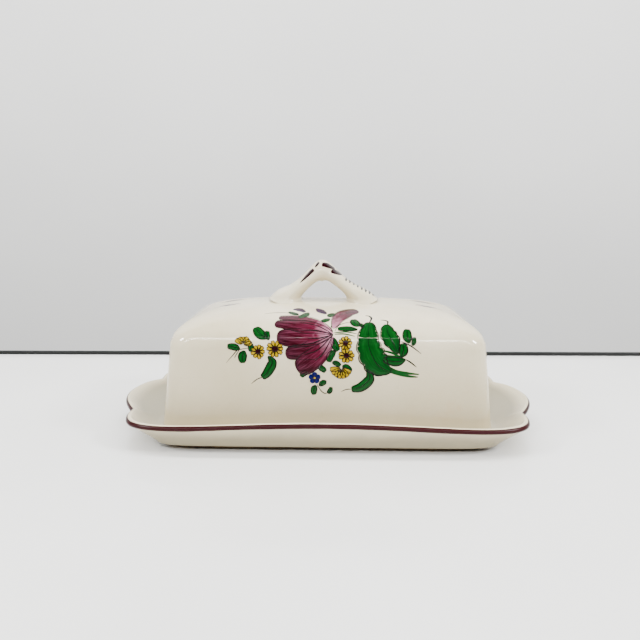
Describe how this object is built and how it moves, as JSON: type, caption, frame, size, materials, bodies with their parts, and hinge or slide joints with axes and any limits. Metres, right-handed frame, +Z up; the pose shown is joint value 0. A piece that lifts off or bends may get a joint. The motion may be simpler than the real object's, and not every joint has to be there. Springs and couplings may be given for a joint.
{
  "type": "covered butter dish",
  "caption": "Tin-glazed earthenware butter dish: an eared rectangular tray with a scalloped rim, a domed cover and a bough-shaped handle.",
  "frame": {"origin": "on the table, under the middle of the dish", "axes": "+X along the length of the dish, +Z up, -Y towards the side that faces the user"},
  "size_m": [0.22, 0.117, 0.088],
  "materials": {
    "dish_glaze": "gloss",
    "cover_glaze": "gloss",
    "handle_glaze": "gloss"
  },
  "bodies": {
    "tray": {"dish": "dish_glaze"},
    "cover": {"cover_shell": "cover_glaze", "handle": "handle_glaze"}
  },
  "joints": [
    {"name": "cover_lift", "type": "slide", "parent": "tray", "child": "cover", "axis": [0, 0, 1], "range_m": [0, 0.12]}
  ]
}
